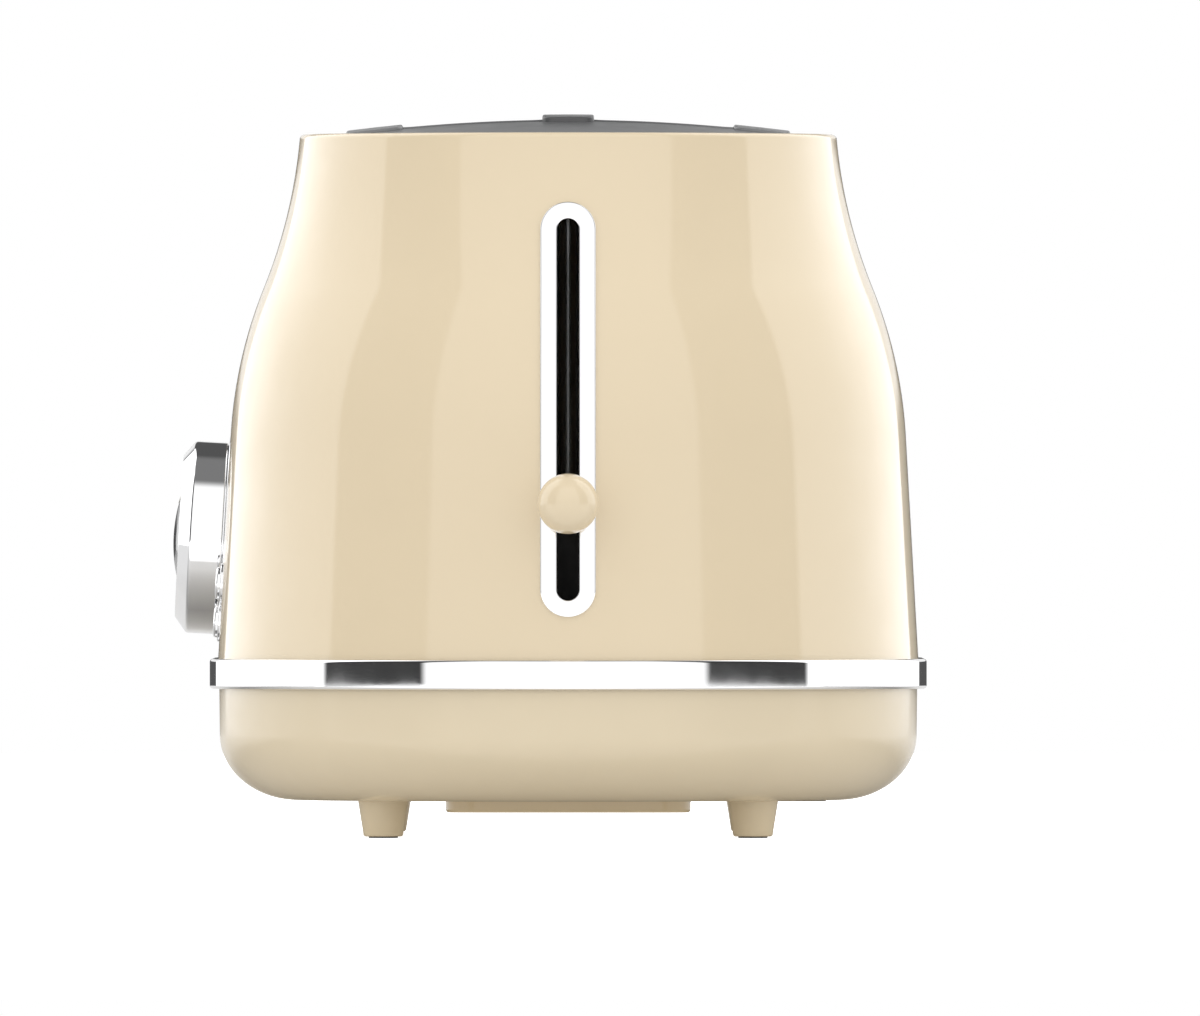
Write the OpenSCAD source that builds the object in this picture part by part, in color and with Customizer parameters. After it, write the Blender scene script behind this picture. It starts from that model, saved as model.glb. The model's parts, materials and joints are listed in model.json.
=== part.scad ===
// Two-slice pop-up toaster with an ogee steel shell, a moulded base and a full pop-up mechanism.
// Millimetres. +Z up, the lever end faces +X, the dial faces -Y. The parts are drawn about the
// middle of the body and then moved, so that the origin is under the middle of the whole toaster.

/* [Body] */
// Length of the body at its waist
body_l = 294; // [284:1:304]
// Width of the body at its waist
body_w = 194; // [190:1:198]
// Height of the shell's rim
rim_z = 194.5; // [193:0.5:196]
// Lean of the lower walls, in degrees
draft = 3.2; // [2.8:0.1:3.6]
// Steepest lean of the shoulder, in degrees
shoulder_lean = 22; // [20:0.5:23]
// Thickness of all sheet metal
sheet = 0.8; // [0.7:0.1:1]

/* [Base] */
// Height of the gap under the base, which is the height of the feet
floor_z = 10.2; // [9.5:0.1:11]
// Wall of the base moulding
base_wall = 2.5; // [2:0.1:3]
// Distance of each foot from the middle, along the body
foot_x = 95; // [90:1:100]
// Distance of each foot from the middle, across the body
foot_y = 51; // [49:1:53]

/* [Bread slots] */
// Length of each slot
slot_l = 150; // [140:1:154]
// Width of each slot
slot_w = 38.2; // [34:0.2:40]
// Width of the bar between the slots
slot_gap = 14.4; // [13:0.2:18]

/* [Lever] */
// Diameter of the ball on the lever
ball_d = 16.7; // [14:0.1:18]
// Height of the ball in the stored pose
lever_z = 92.2; // [90:0.1:94]
// Width of the lever's slot
lever_slot_w = 6; // [5.8:0.1:6.4]

/* [Controls] */
// Diameter of the browning dial
dial_d = 53.4; // [50:0.2:56]
// Height of the dial's centre
dial_z = 82.5; // [80:0.5:85]
// Diameter of a push button
button_d = 9; // [8:0.2:9.4]

/* [Hidden] */
$fn = 72;
end_facets = 144; // full turn of the body's round ends
fine_facets = 256; // full turn of wide, shallow curves

half_w = body_w / 2;
straight = body_l - body_w;
end_x = straight / 2;
far = 400; // longer than any part, for cuts that pass right through
skin_gap = 0.02; // bond line between two curved faces that touch

// Middle of the body: the dial and the lever's ball stand out on one side each, so it is off the origin.
body_centre = [-8, 5, 0];

cream = "#e7d9ba";
chrome = "#e4e5e6";
steel = "#b4b6b8";
black = "#1b1a19";
gunmetal = "#6b6c6d";
brass = "#c9a24a";
mica = "#cfc6ad";
board_green = "#1f5a3a";
rubber_grey = "#55534f";

// ---- Plan and profile ----

function arc(centre, r, from, to, n) =
    [for (i = [0:n]) let (a = from + (to - from) * i / n) centre + r * [cos(a), sin(a)]];
function mirrored(points) = [for (i = [len(points) - 1:-1:0]) points[i]];

// A rectangle with round corners about the origin.
function round_rect(w, h, r, n = 6) = [
    for (q = [[1, 1, 0], [-1, 1, 90], [-1, -1, 180], [1, -1, 270]])
        each arc([q[0] * (w / 2 - r), q[1] * (h / 2 - r)], r, q[2], q[2] + 90, n)
];

// The plan of the body, a rectangle with full round ends, moved out by off.
function plan_points(off) =
    concat(arc([end_x, 0], half_w + off, -90, 90, 48), arc([-end_x, 0], half_w + off, 90, 270, 48));

// Sweeps a profile round the plan. The profile's x is its distance outside the waist, and y is height.
module around() {
    for (s = [0, 180])
        rotate([0, 0, s]) {
            translate([end_x, 0, 0]) rotate([0, 0, -90])
                rotate_extrude(angle = 180, $fn = end_facets) translate([half_w, 0]) children();
            translate([-end_x, 0, 0]) rotate([90, 0, 90])
                linear_extrude(straight) translate([half_w, 0]) children();
        }
}

// Sweeps a profile over the middle of the lever end only.
module around_lever_end(spread) {
    translate([end_x, 0, 0]) rotate([0, 0, -spread])
        rotate_extrude(angle = 2 * spread, $fn = fine_facets) translate([half_w, 0]) children();
}

module plate(z, t, off) {
    translate([0, 0, z]) linear_extrude(t) polygon(plan_points(off));
}

module box(low, high) {
    translate(low) cube(high - low);
}

// The shell's ogee: a leaning wall, a convex shoulder and a concave neck, all tangent.
waist_z = 49;
shoulder_z = 111;
shoulder_r = 128;
neck_r = 146;
function wall_off(z) = -(z - waist_z) * tan(draft);
shoulder_c = [wall_off(shoulder_z) - shoulder_r * cos(draft), shoulder_z - shoulder_r * sin(draft)];
knee = shoulder_c + shoulder_r * [cos(shoulder_lean), sin(shoulder_lean)];
neck_c = knee + neck_r * [cos(shoulder_lean), sin(shoulder_lean)];
function neck_end(depth, z) = asin((neck_c[1] - z) / (neck_r + depth));
function neck_off(depth, z) = neck_c[0] - (neck_r + depth) * cos(neck_end(depth, z));

// The ogee from z_low to z_high, at a depth inside the outer face.
function ogee(depth, z_low, z_high) = concat(
    [[wall_off(z_low) - depth / cos(draft), z_low]],
    arc(shoulder_c, shoulder_r - depth, draft, shoulder_lean, 10),
    [for (i = [1:12])
        let (a = shoulder_lean + (neck_end(depth, z_high) - shoulder_lean) * i / 12)
            neck_c - (neck_r + depth) * [cos(a), sin(a)]]
);

// A layer between two depths of the ogee.
module ogee_layer(outer, inner, z_low, z_high) {
    polygon(concat(ogee(outer, z_low, z_high), mirrored(ogee(inner, z_low, z_high))));
}

// ---- Shell, cover, band and base ----

over = 1; // overrun of a cut past a face
shell_low = 44.6;
hem_r = 1.4;
hem_w = 3.2;
rim_off = neck_off(0, rim_z - hem_r);
window_clear = 1; // how far the shell's window stands back from the slot in its trim
dial_hole_r = 7;
button_clear = 0.2;
wall_cut = 5; // reach of a hole through the wall, each way

// A hole through the wall, along Z.
module wall_hole(r) {
    translate([0, 0, -wall_cut]) cylinder(r = r, h = 2 * wall_cut);
}

module outer_shell() {
    color(cream) difference() {
        around() polygon(concat(
            ogee(0, shell_low, rim_z - hem_r),
            arc([rim_off - hem_r, rim_z - hem_r], hem_r, 22.5, 90, 3),
            [[rim_off - hem_w, rim_z], [rim_off - hem_w, rim_z - sheet]],
            mirrored(ogee(sheet, shell_low, rim_z - sheet))
        ));
        lever_opening(window_clear);
        at_dial() {
            wall_hole(dial_hole_r);
            at_buttons() wall_hole(button_r + button_clear);
        }
    }
}

// The cover is a shallow dome. Across the body it is one curve, and along it the ends curve down.
dome_z = 198.6;
dome_flat = 60; // half the length that doesn't curve along the body
dome_end_r = 230;
dome_ry = 480;
dome_spread = 18.5; // degrees that each end curve goes through, past the cover's edge
cover_gap = 0.4;
cover_off = rim_off - sheet - cover_gap;
below_top = 170; // under the cover and the chamber's top
above_top = 210; // over everything

function dome_line(crest, n = 30) =
    [for (i = [-n:n]) let (y = half_w * i / n) [crest - dome_ry + sqrt(dome_ry * dome_ry - y * y), y]];

module dome_slice(crest, low, high) {
    polygon(concat(dome_line(crest + low), mirrored(dome_line(crest + high))));
}

// A layer of the dome between two heights above its own surface.
module dome_layer(low, high) {
    rotate([0, -90, 0]) linear_extrude(2 * dome_flat, center = true) dome_slice(dome_z, low, high);
    for (s = [0, 180])
        rotate([0, 0, s]) translate([dome_flat, 0, dome_z - dome_end_r])
            rotate([-90, 0, 0]) rotate([0, 0, -90])
                rotate_extrude(angle = dome_spread, $fn = fine_facets) dome_slice(dome_end_r, low, high);
}

slot_y = (slot_gap + slot_w) / 2;
slot_corner = 4;
chamber_top_z = 180;
cover_t = 1.8;
collar_t = 1.3;
collar_depth = 25;

module at_slots() {
    for (s = [-1, 1]) translate([0, s * slot_y, 0]) children();
}

module slot_prism(grow, low, high) {
    translate([0, 0, low]) linear_extrude(high - low)
        polygon(round_rect(slot_l + 2 * grow, slot_w + 2 * grow, slot_corner + grow));
}

module top_cover() {
    color(gunmetal) difference() {
        union() {
            intersection() {
                dome_layer(-cover_t, 0);
                plate(below_top, above_top - below_top, cover_off);
            }
            intersection() {
                dome_layer(-collar_depth, -cover_t / 2);
                at_slots() slot_prism(collar_t, chamber_top_z + sheet, above_top);
            }
        }
        at_slots() slot_prism(0, below_top, above_top);
    }
}

// Raised bars along the slots: one between them and one outside each.
bar_l = slot_l + 10;
bar_corner = 3;
bar_inset = 0.4; // from a slot's edge to a bar's
outer_bar_w = 15.6;
outer_bar_t = 0.8;
centre_bar_t = 1.4;

module slot_bar(y, w, t) {
    intersection() {
        dome_layer(skin_gap, t);
        translate([0, y, below_top]) linear_extrude(above_top - below_top)
            polygon(round_rect(bar_l, w, bar_corner));
    }
}

module slot_bars() {
    color(gunmetal) {
        slot_bar(0, slot_gap - 2 * bar_inset, centre_bar_t);
        for (s = [-1, 1])
            slot_bar(s * (slot_y + slot_w / 2 + bar_inset + outer_bar_w / 2), outer_bar_w, outer_bar_t);
    }
}

band_low = 41;
band_high = 49.3;
band_out = 2.3;
band_r = 0.9;
band_key = 2.2; // depth of the web that the band has between the shell and the base
base_high = 44;

module trim_band() {
    seat = wall_off(shell_low) + 0.05;
    color(chrome) around() polygon(concat(
        [[seat, band_low]],
        arc([band_out - band_r, band_low + band_r], band_r, -90, 0, 2),
        arc([band_out - band_r, band_high - band_r], band_r, 0, 90, 2),
        [[seat, band_high], [seat, shell_low]],
        [[-band_key, shell_low], [-band_key, base_high], [seat, base_high]]
    ));
}

// The base is a tub whose lower corner is a quarter of an ellipse.
base_off = -0.3;
base_lean = 0.2; // how far its wall leans in, down to the corner
corner_w = 21.5;
corner_h = 18;
corner_z = floor_z + corner_h;
corner_x = base_off - base_lean - corner_w;
function base_corner(depth) = [for (i = [0:12]) let (a = -90 * i / 12)
    [corner_x + (corner_w - depth) * cos(a), corner_z + (corner_h - depth) * sin(a)]];
ring_w = 8; // flat part of the floor that the wall's sweep takes in
floor_off = base_off - corner_w - ring_w;
floor_in = floor_z + base_wall;

module base_ring() {
    around() polygon(concat(
        [[base_off, base_high]], base_corner(0), [[floor_off, floor_z], [floor_off, floor_in]],
        mirrored(base_corner(base_wall)), [[base_off - base_wall, base_high]]
    ));
}

chassis_z = 25;
post_x = 84;
post_y = 58;
post_d = 12;
post_bore = 3.7;
recess_d = 8.6;
recess_top = floor_z + 4.5;
module at_posts() {
    for (x = [-post_x, post_x], y = [-post_y, post_y]) translate([x, y, 0]) children();
}
module at_feet() {
    for (x = [-foot_x, foot_x], y = [-foot_y, foot_y]) translate([x, y, 0]) children();
}

// The crumb tray's mouth is in the far end wall, and two rails on the floor guide the tray.
tray_w = 91;
tray_low = 13.2;
tray_high = 22.4;
mouth_x = -end_x - 60;
mouth_clear = 0.4;
rail_t = 1.4;
rail_y = tray_w / 2 + rail_t;
rail_end = 82;
rail_top = 18;
module tray_mouth(grow) {
    box([-far, -tray_w / 2 - grow, tray_low - grow], [mouth_x, tray_w / 2 + grow, tray_high + grow]);
}

grommet_x = -70;
grommet_y = 65;
grommet_d = 11;
cord_r = 3.6;
module at_grommet() {
    translate([grommet_x, grommet_y, 0]) children();
}

vent_w = 4;
vent_l = 13;
vent_y = 64;
vent_pitch = 12;
root = 0.5; // how deep posts and rails run into the floor
module base_shell() {
    color(cream) difference() {
        union() {
            base_ring();
            plate(floor_z, base_wall, floor_off + over);
            at_posts() translate([0, 0, floor_in - root])
                cylinder(d = post_d, h = chassis_z - floor_in + root);
            for (y = [-rail_y, rail_y])
                box([mouth_x, y - rail_t / 2, floor_in - root], [rail_end, y + rail_t / 2, rail_top]);
        }
        at_posts() {
            cylinder(d = recess_d, h = recess_top);
            cylinder(d = post_bore, h = chassis_z + over);
        }
        at_feet() cylinder(d = foot_stem_d + 0.1, h = floor_in + over);
        tray_mouth(mouth_clear);
        at_grommet() cylinder(d = grommet_d, h = floor_in + over);
        for (i = [-4:4], y = [-vent_y, vent_y])
            translate([i * vent_pitch, y, 0]) linear_extrude(floor_in + over)
                polygon(round_rect(vent_w, vent_l, vent_w / 2 - 0.1, 4));
        at_cover_screws() cylinder(d = 2.8, h = floor_in + over);
    }
}

cover_l = 120;
cover_w = 67.8;
cover_corner = 10;
cover_edge = 0.8;
cover_low = 6.7;
cover_seat = 8.8;
thin = 0.1;
module at_cover_screws() {
    for (x = [-40, 40]) translate([x, 0, 0]) children();
}
module cover_outline(inset) {
    polygon(round_rect(cover_l - 2 * inset, cover_w - 2 * inset, cover_corner - inset));
}
module service_cover() {
    color(cream) difference() {
        hull() {
            translate([0, 0, cover_low]) linear_extrude(thin) cover_outline(cover_edge);
            translate([0, 0, cover_low + cover_edge]) linear_extrude(floor_z - cover_low - cover_edge)
                cover_outline(0);
        }
        at_cover_screws() {
            cylinder(d = 7, h = cover_seat);
            cylinder(d = 3.2, h = floor_z + over);
        }
    }
}

// A cross-head screw that points up, with the underside of its head at z = 0.
cross_w = 1;
module screw(head_d, head_h, d, l) {
    difference() {
        union() {
            translate([0, 0, -head_h]) cylinder(d = head_d, h = head_h);
            cylinder(d = d, h = l);
        }
        translate([0, 0, -head_h - thin]) for (a = [0, 90])
            rotate([0, 0, a]) translate([-head_d * 0.3, -cross_w / 2, 0])
                cube([head_d * 0.6, cross_w, head_h * 0.6]);
    }
}

module cover_screws() {
    color(steel) at_cover_screws() translate([0, 0, cover_seat])
        screw(head_d = 6, head_h = 1.7, d = 2.7, l = 3.8);
}

module base_screws() {
    color(steel) at_posts() translate([0, 0, recess_top])
        screw(head_d = 7.6, head_h = 2.4, d = 3.6, l = chassis_z - floor_z);
}

foot_d = 14;
foot_tip_d = 11;
foot_edge = 0.8;
foot_low = 0.4; // the rubber pads stand out below the feet by this
foot_stem_d = 5;
foot_stem = 2; // how far a foot's stem stands up inside the floor
pad_d = 8.2;
pad_t = 1.6;
module feet() {
    cone_low = foot_low + foot_edge;
    color(cream) at_feet() difference() {
        union() {
            translate([0, 0, foot_low])
                cylinder(d1 = foot_tip_d - 1.5 * foot_edge, d2 = foot_tip_d, h = foot_edge);
            translate([0, 0, cone_low]) cylinder(d1 = foot_tip_d, d2 = foot_d, h = floor_z - cone_low);
            cylinder(d = foot_stem_d, h = floor_in + foot_stem);
        }
        translate([0, 0, -over]) cylinder(d = pad_d, h = pad_t + over);
    }
}

module foot_pads() {
    color(rubber_grey) at_feet() cylinder(d = pad_d - 0.1, h = pad_t);
}

grommet_low = floor_z - 1.2;
grommet_h = 9;
module cord_grommet() {
    color(black) at_grommet() difference() {
        union() {
            translate([0, 0, grommet_low]) cylinder(d = grommet_d + 3, h = floor_z - grommet_low);
            translate([0, 0, grommet_low]) cylinder(d = grommet_d - 0.1, h = grommet_h);
            translate([0, 0, floor_in]) cylinder(d = grommet_d + 1.6, h = 1.4);
        }
        cylinder(r = cord_r, h = chassis_z);
    }
}

// Three screw terminals in a row, where the lead ends.
block_at = [-46, 69];
block_l = 32;
block_w = 14;
block_h = 12;
terminal_pitch = 10;
module terminal_block() {
    color("white") translate([block_at[0], block_at[1], chassis_top]) difference() {
        box([-block_l / 2, -block_w / 2, 0], [block_l / 2, block_w / 2, block_h]);
        for (i = [-1:1]) translate([i * terminal_pitch, 0, block_h / 2]) {
            cylinder(d = 4, h = block_h);
            rotate([90, 0, 0]) cylinder(d = 3, h = 2 * block_w, center = true);
        }
    }
}

// ---- Lever slot ----

window_low = 65.7;
window_high = 170.7;
trim_t = 1;
trim_edge = 4.7;
trim_spread = 8; // half the angle of the lever end that the trim's blank takes up
trim_low = 55;
trim_high = 180;
// The lever's slot, grown on every side.
module lever_opening(grow) {
    w = lever_slot_w + 2 * grow;
    h = window_high - window_low + 2 * grow;
    translate([end_x, 0, (window_low + window_high) / 2]) rotate([90, 0, 90]) linear_extrude(far)
        polygon(round_rect(w, h, w / 2 - 0.01, 12));
}

module slot_trim() {
    color(chrome) difference() {
        intersection() {
            around_lever_end(trim_spread) ogee_layer(-trim_t, -skin_gap, trim_low, trim_high);
            lever_opening(trim_edge);
        }
        lever_opening(0);
    }
}

// ---- Dial and buttons ----

// Places its children on the front wall at the dial, with +Z out of the wall.
module at_dial() {
    translate([0, -half_w - wall_off(dial_z), dial_z]) rotate([90 - draft, 0, 0]) children();
}

button_r = button_d / 2;
button_ring = 40;
button_angles = [-18, -35];
function button_at(side, i) = button_ring * [side * cos(button_angles[i]), sin(button_angles[i])];
module at_buttons() {
    for (side = [-1, 1], i = [0, 1]) translate(button_at(side, i)) children();
}

dial_r = dial_d / 2;
ring_r = dial_r + 1.8;
ring_t = 0.5;
module dial_ring() {
    color(chrome) at_dial() rotate_extrude() polygon([
        [dial_hole_r, 0], [ring_r, 0], [ring_r, ring_t / 2],
        [ring_r - ring_t / 2, ring_t], [dial_hole_r, ring_t]
    ]);
}

bezel_in = button_r + 0.25;
bezel_out = button_r + 1.1;
bezel_t = 0.8;
module button_bezels() {
    color(chrome) at_dial() at_buttons() rotate_extrude() polygon([
        [bezel_in, 0], [bezel_out, 0], [bezel_out, bezel_t / 2], [bezel_out - 0.3, bezel_t],
        [bezel_in, bezel_t]
    ]);
}

// Heights below are measured out from the front wall.
board_back = -24;
board_t = 1.6;
board_face = board_back + board_t;
board_y = -6;
board_l = 108;
board_w = 62;
carrier_z = -8;
carrier_t = 2;
carrier_l = 104;
carrier_w = 58;
carrier_posts = [[-46, 18], [46, 18], [-46, -28], [46, -28]];
shaft_d = 6;
stem_r = 1.5;

module control_carrier() {
    color(black) at_dial() difference() {
        union() {
            translate([0, board_y, carrier_z]) linear_extrude(carrier_t)
                polygon(round_rect(carrier_l, carrier_w, 5));
            for (p = carrier_posts) translate([p[0], p[1], board_face])
                cylinder(d = 7, h = -sheet - board_face);
        }
        translate([0, 0, carrier_z - over]) {
            cylinder(d = encoder_neck_d + 0.4, h = carrier_t + 2 * over);
            at_buttons() cylinder(r = stem_r + 0.2, h = carrier_t + 2 * over);
        }
    }
}

module control_board() {
    color(board_green) at_dial() translate([0, board_y, board_back]) linear_extrude(board_t)
        polygon(round_rect(board_l, board_w, 3));
}

encoder_w = 16;
encoder_h = 9;
encoder_neck_d = 9.2;
encoder_neck_h = 10.5;
encoder_floor = 3;
module dial_encoder() {
    color(steel) at_dial() translate([0, 0, board_face]) difference() {
        union() {
            translate([-encoder_w / 2, -encoder_w / 2, 0]) cube([encoder_w, encoder_w, encoder_h]);
            cylinder(d = encoder_neck_d, h = encoder_h + encoder_neck_h);
        }
        translate([0, 0, encoder_floor]) cylinder(d = shaft_d + 0.1, h = encoder_h + encoder_neck_h);
    }
}

tact_w = 6;
tact_h = 3.2;
tact_top = 3.5;
module tact_switches() {
    color(black) at_dial() at_buttons() {
        translate([-tact_w / 2, -tact_w / 2, board_face]) cube([tact_w, tact_w, tact_h]);
        translate([0, 0, board_face]) cylinder(d = 3.4, h = tact_top);
    }
}

dial_back = 0.9;
dial_edge = 9.8;
dial_front = 13.1;
dial_bevel = 4.2;
dial_round = 1.2; // radius where the side turns into the bevel
bevel_turn = atan2(dial_bevel, dial_front - dial_edge);
dial_seat = 9.6;
dial_wall = 2.5;
hub_back = 2.5;
hub_deep = 7; // the hollow behind the dial ends at this height
face_r = 17.7;
face_clear = 0.1;
module dial_knob() {
    lip_r = face_r + face_clear;
    bore_r = shaft_d / 2 + 0.02;
    edge_z = dial_edge - dial_round * tan(bevel_turn / 2);
    color(chrome) at_dial() rotate_extrude($fn = 128) polygon([
        [bore_r, hub_back], [dial_hole_r, hub_back], [dial_hole_r, hub_deep],
        [dial_r - dial_wall, hub_deep], [dial_r - dial_wall, dial_back],
        [dial_r - 0.3, dial_back], [dial_r, dial_back + 0.3],
        each arc([dial_r - dial_round, edge_z], dial_round, 0, bevel_turn, 4),
        [dial_r - dial_bevel, dial_front],
        [lip_r + 0.5, dial_front], [lip_r, dial_front - 0.5], [lip_r, dial_seat], [bore_r, dial_seat]
    ]);
}

// A glossy dome in the dial.
face_ball = 43;
face_top = 14.7;
module dial_face() {
    color(black) at_dial() rotate_extrude($fn = 128) polygon(concat(
        [[0, dial_seat], [face_r, dial_seat]],
        [for (i = [0:10]) let (r = face_r * (1 - i / 10))
            [r, face_top - face_ball + sqrt(face_ball * face_ball - r * r)]]
    ));
}

module dial_shaft() {
    foot = board_face + encoder_floor + 0.5;
    color(steel) at_dial() translate([0, 0, foot]) cylinder(d = shaft_d, h = dial_seat - foot - 0.1);
}

// A button: a cap with a round top, a flange behind the wall and a stem to its switch.
button_top = 2.2;
button_travel = 1.2;
flange_low = -3.5;
flange_high = -2.4;
module button(side, i) {
    stem_low = board_face + tact_top + button_travel + 0.1;
    flange_r = button_r + 0.8;
    color(chrome) at_dial() translate(button_at(side, i)) rotate_extrude() polygon([
        [0, stem_low], [stem_r, stem_low], [stem_r, flange_low], [flange_r, flange_low],
        [flange_r, flange_high], [button_r, flange_high], [button_r, button_top - 0.9],
        [button_r - 0.3, button_top - 0.5], [button_r - 1, button_top - 0.2],
        [button_r * 0.5, button_top - 0.05], [0, button_top]
    ]);
}
module bagel_button() { button(-1, 0); }
module defrost_button() { button(-1, 1); }
module cancel_button() { button(1, 0); }
module reheat_button() { button(1, 1); }

// ---- Toasting chamber ----

plate_x = 80;
chamber_y = 60;
chassis_top = chassis_z + sheet;
opening_x = 76; // half the length of the chassis's opening above the crumb tray
opening_y = 45;
guard_off = 16.5;
pivot_z = 50;
pivot_d = 2.4;

module chassis_plate() {
    color(steel) difference() {
        plate(chassis_z, sheet, -6);
        box([-opening_x, -opening_y, chassis_z - over], [opening_x, opening_y, chassis_top + over]);
        at_posts() cylinder(d = post_bore, h = chassis_top + over);
        at_grommet() cylinder(d = grommet_d + 1, h = chassis_top + over);
    }
}

rack_low = 58;
rack_high = 68;
rack_slot_w = 6;
rack_clear = 3;
travel_down = 21;
travel_up = 72;
louvre_y = 52;
louvre_w = 4;
louvre_h = 16;
louvre_pitch = 30;
module end_plate(x) {
    color(steel) difference() {
        box([x, -chamber_y, chassis_top], [x + sheet, chamber_y, chamber_top_z]);
        for (s = [-1, 1]) {
            box([x - over, s * slot_y - rack_slot_w / 2, rack_low - travel_down - rack_clear],
                [x + sheet + over, s * slot_y + rack_slot_w / 2, rack_high + travel_up + rack_clear]);
            for (g = [-guard_off, guard_off])
                translate([x - over, s * slot_y + g, pivot_z]) rotate([0, 90, 0])
                    cylinder(d = pivot_d + 0.1, h = sheet + 2 * over);
        }
        for (y = [-louvre_y, louvre_y], i = [0:3])
            translate([0, 0, pivot_z + i * louvre_pitch])
                box([x - over, y - louvre_w / 2, 0], [x + sheet + over, y + louvre_w / 2, louvre_h]);
    }
}
module lever_end_plate() { end_plate(plate_x); }
module far_end_plate() { end_plate(-plate_x - sheet); }

rod_x = 102;
rod_d = 6;
spring_y = 15;
spring_top = 176;
flange_y = 54;
screw_x = 70;
screw_bore = 2.7;
top_x = plate_x + 4;
tongue_y = 20; // half the width of the tongue that holds the guide rod
tongue_end = 9; // how far it reaches past the rod
lug = 3; // half the width of the lug that the spring hangs from
module at_frame_screws() {
    for (x = [-screw_x, screw_x], s = [-1, 1]) translate([x, s * flange_y, 0]) children();
}
module chamber_top() {
    color(steel) difference() {
        union() {
            box([-top_x, -chamber_y, chamber_top_z],
                [rod_x + tongue_end, chamber_y, chamber_top_z + sheet]);
            box([rod_x - lug, spring_y - lug, spring_top],
                [rod_x + lug, spring_y + lug, chamber_top_z + thin]);
        }
        at_frame_screws() cylinder(d = screw_bore, h = far);
        at_slots() box([-slot_l / 2, -slot_w / 2, below_top], [slot_l / 2, slot_w / 2, above_top]);
        translate([rod_x, 0, 0]) cylinder(d = rod_d + 0.04, h = far);
        for (m = [0, 1]) mirror([0, m, 0]) box([top_x, tongue_y, below_top], [far, far, above_top]);
    }
}

// A heat reflector beside the outer board, with a flange along its top.
reflector_y = 57;
flange_in = 49;
reflector_vent_z = 168;
reflector_vent_l = 18;
reflector_vent_h = 4;
module reflector(s) {
    color(steel) difference() {
        mirror([0, s > 0 ? 0 : 1, 0]) {
            box([-plate_x, reflector_y, chassis_top], [plate_x, reflector_y + sheet, chamber_top_z]);
            box([-plate_x, flange_in, chamber_top_z - sheet],
                [plate_x, reflector_y + sheet, chamber_top_z]);
        }
        at_frame_screws() cylinder(d = screw_bore, h = far);
        for (i = [-2:2])
            translate([i * plate_x * 3 / 8, 0, reflector_vent_z]) rotate([90, 0, 0])
                linear_extrude(far, center = true)
                    polygon(round_rect(reflector_vent_l, reflector_vent_h, reflector_vent_h / 2 - 0.1, 4));
    }
}
module front_reflector() { reflector(-1); }
module rear_reflector() { reflector(1); }

mica_t = 0.6;
mica_low = 42;
mica_high = 174;
mica_y = 51;
notch = 3; // half the height of a mounting notch
notch_depth = 4;
module mica_board(y) {
    color(mica) difference() {
        box([-plate_x, y - mica_t / 2, mica_low], [plate_x, y + mica_t / 2, mica_high]);
        for (s = [-1, 1], z = [mica_low + 8, mica_high - 8])
            box([s * plate_x - notch_depth, y - over, z - notch],
                [s * plate_x + notch_depth, y + over, z + notch]);
    }
}
module front_mica() { mica_board(-mica_y); }
module centre_mica() { mica_board(0); }
module rear_mica() { mica_board(mica_y); }

// Flat heating ribbon that runs to and fro across a board, on the side that faces a slot.
ribbon_w = 2;
ribbon_t = 0.25;
ribbon_rows = 12;
ribbon_l = 146;
ribbon_pitch = 10;
ribbon_low = mica_low + 11;
module ribbon(y) {
    translate([0, y + ribbon_t / 2, ribbon_low]) rotate([90, 0, 0]) linear_extrude(ribbon_t)
        for (i = [0:ribbon_rows - 1]) {
            translate([-ribbon_l / 2, i * ribbon_pitch]) square([ribbon_l, ribbon_w]);
            if (i < ribbon_rows - 1)
                translate([(i % 2 == 0 ? ribbon_l / 2 - ribbon_w : -ribbon_l / 2), i * ribbon_pitch])
                    square([ribbon_w, ribbon_pitch + ribbon_w]);
        }
}
ribbon_off = mica_t / 2 + ribbon_t / 2;
module front_heater() { color(gunmetal) ribbon(-mica_y + ribbon_off); }
module rear_heater() { color(gunmetal) ribbon(mica_y - ribbon_off); }
module centre_heater() { color(gunmetal) for (s = [-1, 1]) ribbon(s * ribbon_off); }

// A wire guard that leans in towards its slot and turns about its lower rod.
guard_lean = 3;
guard_top = 176;
guard_wires = 9;
guard_pitch = 17.5;
guard_wire_d = 1.6;
guard_rail_d = 2.2;
pivot_end = 2.5; // how far the pivot rod reaches past the middle of each end plate
rail_in = 4; // how far the top rail stops short of it
module guard(slot_side, guard_side) {
    color(chrome) translate([0, slot_side * slot_y + guard_side * guard_off, pivot_z])
        rotate([guard_side * guard_lean, 0, 0]) {
            translate([-plate_x - pivot_end, 0, 0]) rotate([0, 90, 0])
                cylinder(d = pivot_d, h = 2 * (plate_x + pivot_end));
            translate([-plate_x + rail_in, 0, guard_top - pivot_z]) rotate([0, 90, 0])
                cylinder(d = guard_rail_d, h = 2 * (plate_x - rail_in));
            for (i = [0:guard_wires - 1]) translate([(i - (guard_wires - 1) / 2) * guard_pitch, 0, 0])
                cylinder(d = guard_wire_d, h = guard_top - pivot_z);
        }
}
module front_outer_guard() { guard(-1, -1); }
module front_inner_guard() { guard(-1, 1); }
module rear_inner_guard() { guard(1, -1); }
module rear_outer_guard() { guard(1, 1); }

// ---- Mechanism at the lever end ----

rod_end = 4; // how far the guide rod stands above the chamber's top
module guide_rod() {
    color(steel) translate([rod_x, 0, chassis_top])
        cylinder(d = rod_d, h = chamber_top_z + rod_end - chassis_top);
}

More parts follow.
